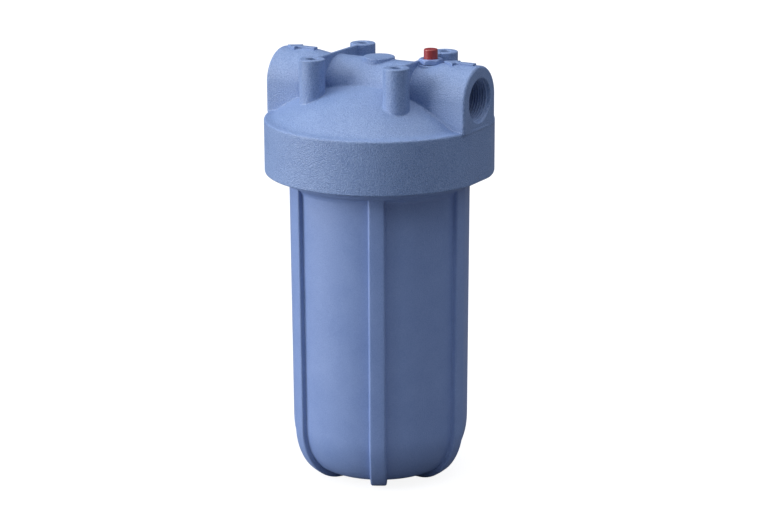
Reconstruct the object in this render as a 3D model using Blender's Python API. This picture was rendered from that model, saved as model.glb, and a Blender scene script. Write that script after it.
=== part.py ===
"""Upright cartridge filter housing for a one inch water line.

A ribbed sump stands on six feet and screws up into a cap. The cap carries the two pipe
ports on one axis, four bracket bosses and a push-button pressure relief valve. A pleated
cartridge stands inside, between a centring post in the sump and a nozzle under the cap.

Units are metres. Z is up, the ports lie along X with the inlet on +X, and the origin is
on the floor under the middle of the sump.
"""
import math

import bmesh
import bpy
from mathutils import Matrix

# ---------------------------------------------------------------- driving dimensions
GAP = 0.0003                 # clearance between pieces that touch

# sump
FOOT_RADIUS = 0.0415         # outer end of the feet
SUMP_FLOOR_Z = 0.0047        # underside of the bowl above the feet
BODY_RADIUS_LOW = 0.0712
BODY_RADIUS_HIGH = 0.0723
BODY_CORNER_Z = 0.047        # where the bowl's rounded bottom meets its straight wall
BODY_CORNER_RADIUS = 0.041   # where the rounded bottom starts, outside
INNER_CORNER_RADIUS = 0.040  # and inside
BODY_STRAIGHT_TOP_Z = 0.232
FLARE_TOP_Z = 0.246          # the bowl is as wide as its ribs from here up
WALL = 0.005
RIB_COUNT = 6
RIB_PHASE_DEG = -62.0
RIB_HALF_WIDTH = 0.00645
RIB_HEIGHT = 0.0042
RIB_TOP_Z = 0.2465
FOOT_INNER_RADIUS = 0.030    # inner end of the feet
FOOT_INNER_Z = 0.040         # the ribs' inner edge, inside the wall, above the feet
RIB_INNER_RADIUS = 0.060
RIB_INNER_Z = 0.060
COLLAR_RADIUS = 0.0826       # mean radius of the sump's thread
COLLAR_BOTTOM_Z = 0.2565
COLLAR_FOOT_RADIUS = 0.0785  # the plain neck below the thread
COLLAR_FOOT_Z = 0.2495
COLLAR_CHAMFER = 0.002
RIM_CHAMFER = 0.0012
BORE_FOOT_Z = 0.249          # bottom of the collar's bore
COLLAR_BORE_RADIUS = 0.0715
RIM_Z = 0.2882
SEAL_RADIUS = 0.077
SEAL_HALF_WIDTH = 0.0027
SEAL_HALF_HEIGHT = 0.0021
GROOVE_HALF_WIDTH = 0.0031
GROOVE_DEPTH = 0.0042
POST_RADIUS = 0.0136
POST_TOP_Z = 0.040
POST_TAPER = 0.0015
POST_TAPER_HEIGHT = 0.004
POST_RECESS_RADIUS = 0.009
POST_RECESS_Z = 0.033
SEAT_RADIUS = 0.0215
SEAT_RIDGE_FOOT = 0.0165     # the ridge that the cartridge's gasket stands on
SEAT_RIDGE_INNER = 0.0175
SEAT_RIDGE_OUTER = 0.0185
SEAT_RIDGE_DEPTH = 0.003
SEAT_SLOPE_DEPTH = 0.004

# cap
RING_RADIUS = 0.092
RING_BOTTOM_Z = 0.254
RING_TOP_Z = 0.2955
RING_FILLET = 0.004
RING_CHAMFER = 0.0015
RING_BORE_RADIUS = 0.0834    # mean radius of the cap's thread
BORE_LEAD_IN = 0.0015        # the threaded bore is this much wider at its mouth
BORE_LEAD_IN_BOTTOM_Z = 0.255
BORE_LEAD_IN_TOP_Z = 0.2565
SEAL_FACE_Z = 0.2888
DOME_FOOT_RADIUS = 0.084
DOME_FOOT_Z = 0.2973
DOME_TOP_Z = 0.3263
DOME_WALL = 0.006
CHAMBER_RADIUS = 0.070
CHAMBER_SHOULDER = 0.004     # how far the chamber's wall stops below the dome's inside
CHAMBER_DOME_RADIUS = 0.066
TUBE_Z = 0.3195              # centre of the port tube's half round top
PORT_Z = 0.3181              # axis of the ports and passages
PORT_FACE_X = 0.0903
BLOCK_HALF_WIDTH = 0.0257
BLOCK_FULL_X = 0.064         # the tube is at its widest from here out
TUBE_STEP_X = 0.052
TUBE_STEP_HALF_WIDTH = 0.0244
TUBE_SLIM_X = 0.044          # and at its slimmest from here in
TUBE_HALF_WIDTH = 0.0235
BLOCK_BOTTOM_Z = 0.2945
FACE_CUT_DEPTH = 0.02        # the slabs that trim the two port faces flat
FACE_CUT_HALF_WIDTH = 0.05
FACE_CUT_BOTTOM_Z = 0.24
FACE_CUT_TOP_Z = 0.36
PORT_MOUTH_RADIUS = 0.0174
PORT_THREAD_RADIUS = 0.0160
PORT_THREAD_DEPTH = 0.024
PORT_LEAD_IN = 0.0015
PASSAGE_RADIUS = 0.013
DUCT_RADIUS = 0.018
DUCT_END_X = 0.084
NOZZLE_RADIUS = 0.0195
NOZZLE_TIP_RADIUS = 0.0175
NOZZLE_TAPER_Z = 0.279       # top of the nozzle's taper
NOZZLE_TOP_Z = 0.312
INLET_DROP_X = 0.055         # where the inlet opens down into the bowl
INLET_DROP_RADIUS = 0.011
INLET_DROP_BOTTOM_Z = 0.270
INLET_END_X = 0.036
OUTLET_DROP_RADIUS = 0.0122
OUTLET_DROP_BOTTOM_Z = 0.260
OUTLET_END_X = 0.0095       # the outlet passage runs this far past the axis
BOSS_X = 0.038
BOSS_Y = 0.0395
BOSS_RADIUS = 0.0103
BOSS_BOTTOM_Z = 0.303        # the bosses and webs start inside the dome's wall
BOSS_TOP_Z = 0.346
BOSS_HOLE_RADIUS = 0.0043
BOSS_HOLE_DEPTH = 0.024
WEB_HALF_THICKNESS = 0.0013
WEB_BOTTOM_Z = 0.304
WEB_TOP_Z = 0.3458
CREST_START_Z = 0.330        # what stands on the tube starts inside it, here
DISC_RADIUS = 0.0125
DISC_TOP_Z = 0.345
ARROW_BOTTOM_Z = 0.3385
ARROW_TOP_Z = 0.3463
ARROW_CENTRE_X = 0.072
ARROW_LENGTH = 0.026
ARROW_HEAD = 0.011
ARROW_HALF_WIDTH = 0.0060
ARROW_SHAFT_HALF_WIDTH = 0.0024

# relief valve
VALVE_X = 0.0466
VALVE_SEAT_BOSS_RADIUS = 0.0102
VALVE_SEAT_BOSS_Z = 0.3432
VALVE_SPOTFACE_RADIUS = 0.0107
VALVE_WELL_RADIUS = 0.0080
VALVE_WELL_FLOOR_Z = 0.3360
VALVE_STEM_HOLE_RADIUS = 0.0021
VALVE_FACE_RADIUS = 0.0043
VALVE_FACE_Z = 0.3336
VALVE_FACE_START_Z = 0.3205
BUSHING_FLAT_TO_FLAT = 0.0175
BUSHING_TOP_Z = 0.3475
BUSHING_SLEEVE_RADIUS = 0.0076
BUSHING_SLEEVE_BOTTOM_Z = 0.3366
BUSHING_POCKET_RADIUS = 0.0066
BUSHING_MOUTH_RADIUS = 0.0058
BUTTON_RADIUS = 0.0055
BUTTON_FLANGE_RADIUS = 0.0063
BUTTON_TOP_Z = 0.355
BUTTON_FLANGE_TOP_Z = 0.3424
BUTTON_FLANGE_BOTTOM_Z = 0.3402
BUTTON_BORE_RADIUS = 0.0045
BUTTON_CEILING_Z = 0.350
BUTTON_EDGE = 0.0008
STEM_RADIUS = 0.0015
STEM_BOTTOM_Z = 0.3302
STEM_TOP_Z = 0.3526
STEM_HEAD_RADIUS = 0.0035
STEM_HEAD_HEIGHT = 0.0015
VALVE_SEAL_RADIUS = 0.0037
VALVE_SEAL_BORE = 0.0018
SPRING_RADIUS = 0.0033
SPRING_WIRE_RADIUS = 0.0004
SPRING_TURNS = 6
SPRING_SEGMENTS = 12         # along each turn
SPRING_SIDES = 5             # round the wire

# cartridge
CARTRIDGE_BOTTOM_Z = 0.024
CARTRIDGE_LENGTH = 0.2477
CARTRIDGE_RADIUS = 0.057
END_CAP_THICKNESS = 0.006
END_CAP_SKIRT = 0.008
END_CAP_WALL = 0.002
END_CAP_BORE = 0.0143
END_CAP_CHAMFER = 0.001
GASKET_INNER_RADIUS = 0.0148
GASKET_OUTER_RADIUS = 0.0210
GASKET_HEIGHT = 0.0024
GASKET_PROUD = 0.0010
CORE_BORE = 0.0142
CORE_RADIUS = 0.0162
MEDIA_BORE = 0.0166
MEDIA_RADIUS = 0.0546
PLEAT_COUNT = 40
PLEAT_DEPTH = 0.009

SEGMENTS = 48                # round the large turned pieces
SMALL_SEGMENTS = 24          # round the small ones
EPS = 0.004                  # how far a cutting shape runs past what it cuts
LAP = 0.001                  # how far a joined shape runs into its neighbour
SHARP_DEG = 32               # edges sharper than this stay sharp

for leftover in list(bpy.data.objects):
    bpy.data.objects.remove(leftover, do_unlink=True)


# ---------------------------------------------------------------- materials
def make_material(name, colour, roughness, metallic=0.0):
    """A Principled material in one colour."""
    material = bpy.data.materials.new(name)
    material.use_nodes = True
    shader = material.node_tree.nodes["Principled BSDF"]
    shader.inputs["Base Color"].default_value = (*colour, 1.0)
    shader.inputs["Roughness"].default_value = roughness
    shader.inputs["Metallic"].default_value = metallic
    return material


BLUE_CAP = make_material("cap_blue", (0.22, 0.33, 0.66), 0.55)
BLUE_SUMP = make_material("sump_blue", (0.19, 0.30, 0.64), 0.45)
RED = make_material("button_red", (0.55, 0.03, 0.03), 0.35)
BLACK_RUBBER = make_material("seal_black", (0.02, 0.02, 0.02), 0.6)
STEEL = make_material("spring_steel", (0.62, 0.62, 0.60), 0.3, 1.0)
BRASS = make_material("stem_brass", (0.70, 0.52, 0.25), 0.35, 1.0)
MEDIA_WHITE = make_material("media_white", (0.86, 0.86, 0.82), 0.9)
END_WHITE = make_material("end_cap_blue_white", (0.78, 0.83, 0.88), 0.5)
CORE_WHITE = make_material("core_white", (0.85, 0.85, 0.85), 0.5)
GASKET_GREY = make_material("gasket_grey", (0.25, 0.26, 0.28), 0.7)


# ---------------------------------------------------------------- mesh helpers
def finish_object(name, bm, material):
    """A linked object from a closed bmesh, with smooth round faces and sharp edges kept."""
    bmesh.ops.recalc_face_normals(bm, faces=bm.faces)
    mesh = bpy.data.meshes.new(name)
    bm.to_mesh(mesh)
    bm.free()
    mesh.shade_smooth()
    mesh.set_sharp_from_angle(angle=math.radians(SHARP_DEG))
    obj = bpy.data.objects.new(name, mesh)
    if material:
        mesh.materials.append(material)
    bpy.context.scene.collection.objects.link(obj)
    return obj


def lathe(name, outline, material=None, segments=SEGMENTS, centre=(0.0, 0.0)):
    """Turns a closed outline of (radius, height) about a vertical axis at centre."""
    bm = bmesh.new()
    rings = []
    for radius, z in outline:
        if radius < 1e-9:
            rings.append([bm.verts.new((centre[0], centre[1], z))] * segments)
            continue
        ring = []
        for i in range(segments):
            a = 2 * math.pi * i / segments
            x = centre[0] + radius * math.cos(a)
            ring.append(bm.verts.new((x, centre[1] + radius * math.sin(a), z)))
        rings.append(ring)
    for lower, upper in zip(rings, rings[1:] + rings[:1]):
        for i in range(segments):
            j = (i + 1) % segments
            corners = [lower[i], lower[j], upper[j], upper[i]]
            unique = list(dict.fromkeys(corners))
            if len(unique) > 2:
                bm.faces.new(unique)
    return finish_object(name, bm, material)


def prism(name, outline, start, end, place, material=None):
    """Extrudes a closed 2-D outline from start to end; place maps (u, v, w) to a point."""
    bm = bmesh.new()
    near = [bm.verts.new(place(u, v, start)) for u, v in outline]
    far = [bm.verts.new(place(u, v, end)) for u, v in outline]
    bm.faces.new(near)
    bm.faces.new(far)
    for i in range(len(outline)):
        j = (i + 1) % len(outline)
        bm.faces.new((near[i], near[j], far[j], far[i]))
    return finish_object(name, bm, material)


def loft_x(name, sections):
    """Joins closed sections of equal length, each given as (x, [(y, z), ...])."""
    bm = bmesh.new()
    loops = [[bm.verts.new((x, y, z)) for y, z in points] for x, points in sections]
    bm.faces.new(loops[0])
    bm.faces.new(loops[-1])
    for first, second in zip(loops, loops[1:]):
        for i in range(len(first)):
            j = (i + 1) % len(first)
            bm.faces.new((first[i], first[j], second[j], second[i]))
    return finish_object(name, bm, None)


def rod_x(name, radius, start, end, z, segments=32):
    """A horizontal cylinder along X."""
    outline = circle(radius, segments)
    return prism(name, outline, start, end, lambda u, v, w: (w, u, z + v))


def rod_z(name, radius, start, end, x, y, segments=SMALL_SEGMENTS):
    """A vertical cylinder."""
    outline = circle(radius, segments)
    return prism(name, outline, start, end, lambda u, v, w: (x + u, y + v, w))


def circle(radius, segments, phase=0.0):
    """Points round a circle."""
    step = 2 * math.pi / segments
    return [(radius * math.cos(phase + i * step), radius * math.sin(phase + i * step))
            for i in range(segments)]


def arc(centre_r, centre_z, half_r, half_z, start_deg, end_deg, steps):
    """Points along an elliptical arc in the (radius, height) plane, both ends included."""
    points = []
    for i in range(steps + 1):
        a = math.radians(start_deg + (end_deg - start_deg) * i / steps)
        points.append((centre_r + half_r * math.cos(a), centre_z + half_z * math.sin(a)))
    return points


def as_tool(obj):
    """Marks a shape that only adds to or cuts another, and isn't a piece itself."""
    obj.hide_render = True
    obj.display_type = "WIRE"
    return obj


def combine(target, operation, tool):
    """Adds one exact Boolean to a piece."""
    modifier = target.modifiers.new(tool.name, "BOOLEAN")
    modifier.operation = operation
    modifier.solver = "EXACT"
    modifier.object = as_tool(tool)


# ---------------------------------------------------------------- sump
def bowl_corner(radius, floor_z, foot_radius, steps=8):
    """The rounded lower corner of the bowl, from its floor out and up to its wall."""
    half_r = radius - foot_radius
    half_z = BODY_CORNER_Z - floor_z
    return arc(foot_radius, BODY_CORNER_Z, half_r, half_z, -90, 0, steps)


def make_sump():
    """The bowl, its threaded collar, its six ribs with their feet, and its centring post."""
    rib_radius = BODY_RADIUS_HIGH + RIB_HEIGHT
    flare = arc(rib_radius, BODY_STRAIGHT_TOP_Z, rib_radius - BODY_RADIUS_HIGH,
                FLARE_TOP_Z - BODY_STRAIGHT_TOP_Z, 180, 90, 4)
    outline = [(0.0, POST_RECESS_Z), (POST_RECESS_RADIUS, POST_RECESS_Z)]
    outline += [(POST_RECESS_RADIUS, SUMP_FLOOR_Z)]
    outline += bowl_corner(BODY_RADIUS_LOW, SUMP_FLOOR_Z, BODY_CORNER_RADIUS)
    outline += flare
    outline += [(COLLAR_FOOT_RADIUS, COLLAR_FOOT_Z)]
    outline += [(COLLAR_FOOT_RADIUS, COLLAR_BOTTOM_Z - COLLAR_CHAMFER)]
    outline += [(COLLAR_RADIUS, COLLAR_BOTTOM_Z), (COLLAR_RADIUS, RIM_Z - RIM_CHAMFER)]
    outline += [(COLLAR_RADIUS - RIM_CHAMFER, RIM_Z), (0.0, RIM_Z)]
    sump = lathe("sump", outline, BLUE_SUMP)

    rib_low = BODY_RADIUS_LOW + RIB_HEIGHT
    rib = [(FOOT_INNER_RADIUS, 0.0)] + bowl_corner(rib_low, 0.0, FOOT_RADIUS)
    rib += [(rib_radius, RIB_TOP_Z), (RIB_INNER_RADIUS, RIB_TOP_Z)]
    rib += [(RIB_INNER_RADIUS, RIB_INNER_Z), (FOOT_INNER_RADIUS, FOOT_INNER_Z)]
    for k in range(RIB_COUNT):
        turn = Matrix.Rotation(math.radians(RIB_PHASE_DEG + 360 * k / RIB_COUNT), 3, "Z")
        plate = prism(f"rib_{k + 1}", rib, -RIB_HALF_WIDTH, RIB_HALF_WIDTH,
                      lambda r, z, w, turn=turn: turn @ matrix_point(r, w, z))
        combine(sump, "UNION", plate)

    floor_z = SUMP_FLOOR_Z + WALL
    inner_low = BODY_RADIUS_LOW - WALL
    seat_z = CARTRIDGE_BOTTOM_Z - GAP
    hollow = [(0.0, POST_TOP_Z), (POST_RADIUS - POST_TAPER, POST_TOP_Z)]
    hollow += [(POST_RADIUS, POST_TOP_Z - POST_TAPER_HEIGHT)]
    hollow += [(POST_RADIUS, seat_z - SEAT_RIDGE_DEPTH)]
    hollow += [(SEAT_RIDGE_FOOT, seat_z - SEAT_RIDGE_DEPTH)]
    hollow += [(SEAT_RIDGE_INNER, seat_z), (SEAT_RIDGE_OUTER, seat_z)]
    hollow += [(SEAT_RADIUS, seat_z - SEAT_SLOPE_DEPTH), (SEAT_RADIUS, floor_z)]
    hollow += bowl_corner(inner_low, floor_z, INNER_CORNER_RADIUS, 7)
    hollow += [(BODY_RADIUS_HIGH - WALL, BODY_STRAIGHT_TOP_Z)]
    hollow += [(COLLAR_BORE_RADIUS, BORE_FOOT_Z)]
    hollow += [(COLLAR_BORE_RADIUS, RIM_Z + EPS / 2)]
    hollow += [(SEAL_RADIUS - GROOVE_HALF_WIDTH, RIM_Z + EPS / 2)]
    hollow += [(SEAL_RADIUS - GROOVE_HALF_WIDTH, RIM_Z - GROOVE_DEPTH)]
    hollow += [(SEAL_RADIUS + GROOVE_HALF_WIDTH, RIM_Z - GROOVE_DEPTH)]
    hollow += [(SEAL_RADIUS + GROOVE_HALF_WIDTH, RIM_Z + EPS), (0.0, RIM_Z + EPS)]
    combine(sump, "DIFFERENCE", lathe("sump_hollow", hollow))
    return sump


def matrix_point(x, y, z):
    """A point as a vector that a 3x3 turn can act on."""
    return Matrix.Translation((x, y, z)).to_translation()


# ---------------------------------------------------------------- cap
def dome_height(radius, foot_radius=DOME_FOOT_RADIUS):
    """Height of the dome's outer face, a part of a sphere, at a distance from the axis."""
    rise = DOME_TOP_Z - DOME_FOOT_Z
    ball = (foot_radius ** 2 + rise ** 2) / (2 * rise)
    return DOME_TOP_Z - ball + math.sqrt(ball ** 2 - radius ** 2)


def port_section(half_width, steps=15):
    """A section of the port tube: a half round on straight sides."""
    points = [(half_width, BLOCK_BOTTOM_Z)]
    for i in range(steps + 1):
        a = math.pi * i / steps
        points.append((half_width * math.cos(a), TUBE_Z + half_width * math.sin(a)))
    points.append((-half_width, BLOCK_BOTTOM_Z))
    return points


def port_tube():
    """The transverse tube, a little narrower in the middle than at its two faces."""
    stations = [PORT_FACE_X + EPS, BLOCK_FULL_X, TUBE_STEP_X, TUBE_SLIM_X]
    widths = [BLOCK_HALF_WIDTH, BLOCK_HALF_WIDTH, TUBE_STEP_HALF_WIDTH, TUBE_HALF_WIDTH]
    sections = [(-x, port_section(w)) for x, w in zip(stations, widths)]
    sections += [(x, port_section(w)) for x, w in zip(stations[::-1], widths[::-1])]
    return loft_x("port_tube", sections)


def flow_arrow(name, centre_x):
    """A raised arrow that points along the flow, from +X to -X."""
    tip = centre_x - ARROW_LENGTH / 2
    neck = tip + ARROW_HEAD
    tail = centre_x + ARROW_LENGTH / 2
    shaft, head = ARROW_SHAFT_HALF_WIDTH, ARROW_HALF_WIDTH
    outline = [(tip, 0.0), (neck, head), (neck, shaft), (tail, shaft)]
    outline += [(tail, -shaft), (neck, -shaft), (neck, -head)]
    return prism(name, outline, ARROW_BOTTOM_Z, ARROW_TOP_Z, lambda u, v, w: (u, v, w))


def cap_shell():
    """The threaded ring and the dome, turned in one, and still solid."""
    fillet = arc(RING_RADIUS - RING_FILLET, RING_TOP_Z - RING_FILLET, RING_FILLET,
                 RING_FILLET, 0, 75, 4)
    dome = []
    for i in range(9):
        radius = DOME_FOOT_RADIUS * (1 - i / 8)
        dome.append((radius, dome_height(radius)))
    outline = [(0.0, RING_BOTTOM_Z), (RING_RADIUS - RING_CHAMFER, RING_BOTTOM_Z)]
    outline += [(RING_RADIUS, RING_BOTTOM_Z + RING_CHAMFER)] + fillet + dome
    return lathe("cap", outline, BLUE_CAP)


def add_outer_features(cap):
    """The port tube, bosses, webs, centre disc, valve boss and flow arrows."""
    combine(cap, "UNION", port_tube())
    for i, side in enumerate((-1, 1)):
        x = side * BOSS_X
        web = [(x - WEB_HALF_THICKNESS, -BOSS_Y), (x + WEB_HALF_THICKNESS, -BOSS_Y)]
        web += [(x + WEB_HALF_THICKNESS, BOSS_Y), (x - WEB_HALF_THICKNESS, BOSS_Y)]
        combine(cap, "UNION", prism(f"web_{i + 1}", web, WEB_BOTTOM_Z, WEB_TOP_Z,
                                    lambda u, v, w: (u, v, w)))
        for j, end in enumerate((-1, 1)):
            boss = rod_z(f"boss_{i + 1}{j + 1}", BOSS_RADIUS, BOSS_BOTTOM_Z, BOSS_TOP_Z,
                         x, end * BOSS_Y)
            combine(cap, "UNION", boss)
        combine(cap, "UNION", flow_arrow(f"arrow_{i + 1}", side * ARROW_CENTRE_X))
    combine(cap, "UNION", rod_z("centre_disc", DISC_RADIUS, CREST_START_Z, DISC_TOP_Z, 0.0, 0.0))
    combine(cap, "UNION", rod_z("valve_boss", VALVE_SEAT_BOSS_RADIUS, CREST_START_Z,
                                VALVE_SEAT_BOSS_Z + LAP, VALVE_X, 0.0, 26))
    combine(cap, "DIFFERENCE", rod_z("valve_spotface", VALVE_SPOTFACE_RADIUS,
                                     VALVE_SEAT_BOSS_Z, BOSS_TOP_Z + EPS, VALVE_X, 0.0, 29))
    for i, side in enumerate((-1, 1)):
        face = side * PORT_FACE_X
        far = side * (PORT_FACE_X + FACE_CUT_DEPTH)
        slab = [(face, -FACE_CUT_HALF_WIDTH), (far, -FACE_CUT_HALF_WIDTH)]
        slab += [(far, FACE_CUT_HALF_WIDTH), (face, FACE_CUT_HALF_WIDTH)]
        cut = prism(f"port_face_{i + 1}", slab, FACE_CUT_BOTTOM_Z, FACE_CUT_TOP_Z,
                    lambda u, v, w: (u, v, w))
        combine(cap, "DIFFERENCE", cut)


def hollow_cap(cap):
    """The threaded bore and the water chamber under the dome."""
    chamber_top = dome_height(CHAMBER_RADIUS) - DOME_WALL - CHAMBER_SHOULDER
    mouth = RING_BORE_RADIUS + BORE_LEAD_IN
    outline = [(0.0, RING_BOTTOM_Z - EPS), (mouth, RING_BOTTOM_Z - EPS)]
    outline += [(mouth, BORE_LEAD_IN_BOTTOM_Z), (RING_BORE_RADIUS, BORE_LEAD_IN_TOP_Z)]
    outline += [(RING_BORE_RADIUS, SEAL_FACE_Z)]
    outline += [(CHAMBER_RADIUS, SEAL_FACE_Z), (CHAMBER_RADIUS, chamber_top)]
    for i in range(7):
        radius = CHAMBER_DOME_RADIUS * (1 - i / 6)
        outline.append((radius, dome_height(radius) - DOME_WALL))
    combine(cap, "DIFFERENCE", lathe("cap_hollow", outline))


def add_waterways(cap):
    """The duct and nozzle inside, then the ports and passages through them."""
    nozzle_bottom = CARTRIDGE_BOTTOM_Z + CARTRIDGE_LENGTH + GAP
    combine(cap, "UNION", rod_x("duct", DUCT_RADIUS, -DUCT_END_X, DUCT_END_X, PORT_Z))
    nozzle = [(0.0, nozzle_bottom), (NOZZLE_TIP_RADIUS, nozzle_bottom)]
    nozzle += [(NOZZLE_RADIUS, NOZZLE_TAPER_Z), (NOZZLE_RADIUS, NOZZLE_TOP_Z)]
    nozzle += [(0.0, NOZZLE_TOP_Z)]
    combine(cap, "UNION", lathe("nozzle", nozzle, segments=32))
    combine(cap, "DIFFERENCE", port_cutter("inlet_port", 1, INLET_END_X))
    combine(cap, "DIFFERENCE", port_cutter("outlet_port", -1, -OUTLET_END_X))
    combine(cap, "DIFFERENCE", rod_z("inlet_drop", INLET_DROP_RADIUS,
                                     INLET_DROP_BOTTOM_Z, PORT_Z, INLET_DROP_X, 0.0))
    combine(cap, "DIFFERENCE", rod_z("outlet_drop", OUTLET_DROP_RADIUS,
                                     OUTLET_DROP_BOTTOM_Z, PORT_Z, 0.0, 0.0, 27))


def port_cutter(name, side, end_x):
    """A port's whole bore: lead-in, thread and passage, turned about the port axis."""
    face = PORT_FACE_X
    lead = (PORT_MOUTH_RADIUS - PORT_THREAD_RADIUS) / PORT_LEAD_IN
    outline = [(0.0, end_x), (PASSAGE_RADIUS, end_x)]
    outline += [(PASSAGE_RADIUS, face - PORT_THREAD_DEPTH)]
    outline += [(PORT_THREAD_RADIUS, face - PORT_THREAD_DEPTH)]
    outline += [(PORT_THREAD_RADIUS, face - PORT_LEAD_IN)]
    outline += [(PORT_MOUTH_RADIUS + lead * EPS, face + EPS), (0.0, face + EPS)]
    cutter = lathe(name, outline, segments=32)
    cutter.data.transform(Matrix.Rotation(side * math.pi / 2, 4, "Y"))
    cutter.data.transform(Matrix.Translation((0.0, 0.0, PORT_Z)))
    return cutter


def cut_cap_holes(cap):
    """The bracket screw holes and the relief valve's well, stem hole and sealing face."""
    for i, x in enumerate((-BOSS_X, BOSS_X)):
        for j, y in enumerate((-BOSS_Y, BOSS_Y)):
            floor = BOSS_TOP_Z - BOSS_HOLE_DEPTH
            hole = rod_z(f"screw_hole_{i + 1}{j + 1}", BOSS_HOLE_RADIUS, floor,
                         BOSS_TOP_Z + EPS, x, y, 16)
            combine(cap, "DIFFERENCE", hole)
    well = rod_z("valve_well", VALVE_WELL_RADIUS, VALVE_WELL_FLOOR_Z, BOSS_TOP_Z + EPS,
                 VALVE_X, 0.0)
    stem = rod_z("valve_stem_hole", VALVE_STEM_HOLE_RADIUS, PORT_Z, BOSS_TOP_Z, VALVE_X,
                 0.0, 12)
    face = rod_z("valve_face", VALVE_FACE_RADIUS, VALVE_FACE_START_Z, VALVE_FACE_Z,
                 VALVE_X, 0.0, 16)
    for tool in (well, stem, face):
        combine(cap, "DIFFERENCE", tool)


def make_cap():
    """The whole cap, in the order in which its shapes build on each other."""
    cap = cap_shell()
    add_outer_features(cap)
    hollow_cap(cap)
    add_waterways(cap)
    cut_cap_holes(cap)
    return cap


# ---------------------------------------------------------------- relief valve
def make_bushing():
    """The hexagonal bushing that keeps the button in its well."""
    corner = BUSHING_FLAT_TO_FLAT / 2 / math.cos(math.pi / 6)
    bottom = VALVE_SEAT_BOSS_Z + GAP
    bushing = prism("relief_bushing", circle(corner, 6), bottom, BUSHING_TOP_Z,
                    lambda u, v, w: (VALVE_X + u, v, w), BLUE_CAP)
    sleeve = rod_z("bushing_sleeve", BUSHING_SLEEVE_RADIUS, BUSHING_SLEEVE_BOTTOM_Z,
                   bottom + LAP, VALVE_X, 0.0)
    combine(bushing, "UNION", sleeve)
    lip_bottom = BUTTON_FLANGE_TOP_Z + GAP
    pocket = rod_z("bushing_pocket", BUSHING_POCKET_RADIUS, BUSHING_SLEEVE_BOTTOM_Z - EPS,
                   lip_bottom, VALVE_X, 0.0)
    mouth = rod_z("bushing_mouth", BUSHING_MOUTH_RADIUS, BUSHING_SLEEVE_BOTTOM_Z,
                  BUSHING_TOP_Z + EPS, VALVE_X, 0.0)
    combine(bushing, "DIFFERENCE", pocket)
    combine(bushing, "DIFFERENCE", mouth)
    return bushing


def make_button():
    """The red push button: a cup with a flange under the bushing's lip."""
    outline = [(STEM_RADIUS + GAP, BUTTON_CEILING_Z), (BUTTON_BORE_RADIUS, BUTTON_CEILING_Z)]
    outline += [(BUTTON_BORE_RADIUS, BUTTON_FLANGE_BOTTOM_Z)]
    outline += [(BUTTON_FLANGE_RADIUS, BUTTON_FLANGE_BOTTOM_Z)]
    outline += [(BUTTON_FLANGE_RADIUS, BUTTON_FLANGE_TOP_Z)]
    outline += [(BUTTON_RADIUS, BUTTON_FLANGE_TOP_Z)]
    outline += arc(BUTTON_RADIUS - BUTTON_EDGE, BUTTON_TOP_Z - BUTTON_EDGE, BUTTON_EDGE,
                   BUTTON_EDGE, 0, 90, 3)
    outline += [(0.0, BUTTON_TOP_Z), (0.0, STEM_TOP_Z + GAP)]
    outline += [(STEM_RADIUS + GAP, STEM_TOP_Z + GAP)]
    return lathe("relief_button", outline, RED, SMALL_SEGMENTS, (VALVE_X, 0.0))


def make_stem():
    """The valve stem, with its head below the seal."""
    head_top = STEM_BOTTOM_Z + STEM_HEAD_HEIGHT
    outline = [(0.0, STEM_BOTTOM_Z), (STEM_HEAD_RADIUS, STEM_BOTTOM_Z)]
    outline += [(STEM_HEAD_RADIUS, head_top), (STEM_RADIUS, head_top)]
    outline += [(STEM_RADIUS, STEM_TOP_Z), (0.0, STEM_TOP_Z)]
    return lathe("relief_stem", outline, BRASS, 16, (VALVE_X, 0.0))


def make_valve_seal():
    """The rubber washer on the stem's head, closed against the cap's sealing face."""
    bottom = STEM_BOTTOM_Z + STEM_HEAD_HEIGHT + GAP
    top = VALVE_FACE_Z - GAP
    outline = [(VALVE_SEAL_BORE, bottom), (VALVE_SEAL_RADIUS, bottom)]
    outline += [(VALVE_SEAL_RADIUS, top), (VALVE_SEAL_BORE, top)]
    return lathe("relief_seal", outline, BLACK_RUBBER, 20, (VALVE_X, 0.0))


def make_spring():
    """The coil spring between the well's floor and the button's ceiling."""
    bottom = VALVE_WELL_FLOOR_Z + GAP + SPRING_WIRE_RADIUS
    top = BUTTON_CEILING_Z - GAP - SPRING_WIRE_RADIUS
    count = SPRING_TURNS * SPRING_SEGMENTS
    bm = bmesh.new()
    loops = []
    for i in range(count + 1):
        a = 2 * math.pi * i / SPRING_SEGMENTS
        z = bottom + (top - bottom) * i / count
        loop = []
        for k in range(SPRING_SIDES):
            b = 2 * math.pi * k / SPRING_SIDES
            r = SPRING_RADIUS + SPRING_WIRE_RADIUS * math.cos(b)
            loop.append(bm.verts.new((VALVE_X + r * math.cos(a), r * math.sin(a),
                                      z + SPRING_WIRE_RADIUS * math.sin(b))))
        loops.append(loop)
    for first, second in zip(loops, loops[1:]):
        for k in range(SPRING_SIDES):
            j = (k + 1) % SPRING_SIDES
            bm.faces.new((first[k], first[j], second[j], second[k]))
    bm.faces.new(loops[0])
    bm.faces.new(loops[-1])
    return finish_object("relief_spring", bm, STEEL)


# ---------------------------------------------------------------- sump seal and cartridge
def make_sump_seal():
    """The large O-ring in the top face of the sump, pressed to an oval by the cap."""
    centre_z = RIM_Z - GROOVE_DEPTH + GAP + SEAL_HALF_HEIGHT
    outline = arc(SEAL_RADIUS, centre_z, SEAL_HALF_WIDTH, SEAL_HALF_HEIGHT, 0, 315, 7)
    return lathe("sump_o_ring", outline, BLACK_RUBBER)


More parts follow.
